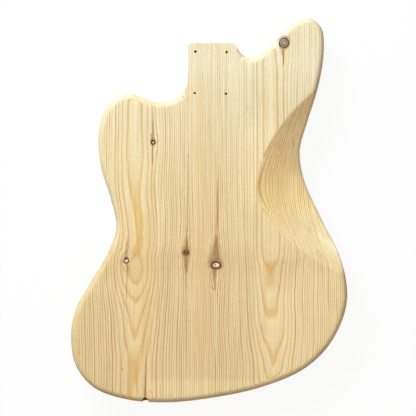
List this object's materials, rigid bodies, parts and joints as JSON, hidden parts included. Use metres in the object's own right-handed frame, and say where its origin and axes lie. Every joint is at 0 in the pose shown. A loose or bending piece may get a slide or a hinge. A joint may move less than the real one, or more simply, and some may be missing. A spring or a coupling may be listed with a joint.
{
  "type": "electric guitar body",
  "caption": "Bare pine electric guitar body with an offset waist, belly scoop, bolt-on neck pocket and routs for pickups, bridge, tremolo and controls.",
  "frame": {"origin": "on the flat front face, where the centre line crosses the bridge line", "axes": "+Y towards the neck, +X towards the bass side (the longer horn), +Z out of the back"},
  "size_m": [0.3377, 0.4694, 0.0445],
  "materials": {
    "pine": "bare sanded pine",
    "branch_wood": "bare sanded branch wood",
    "bark": "dark bark and resin"
  },
  "bodies": {
    "root": {"board_treble": "pine", "board_bass": "pine", "knot_core_bass_horn": "branch_wood", "knot_bark_bass_horn": "bark", "knot_core_treble_horn": "branch_wood", "knot_bark_treble_horn": "bark", "knot_core_treble_waist": "branch_wood", "knot_bark_treble_waist": "bark", "knot_core_bridge_treble": "branch_wood", "knot_bark_bridge_treble": "bark", "knot_core_bridge_bass": "branch_wood", "knot_bark_bridge_bass": "bark", "bark_pocket_tail": "bark"}
  },
  "joints": []
}
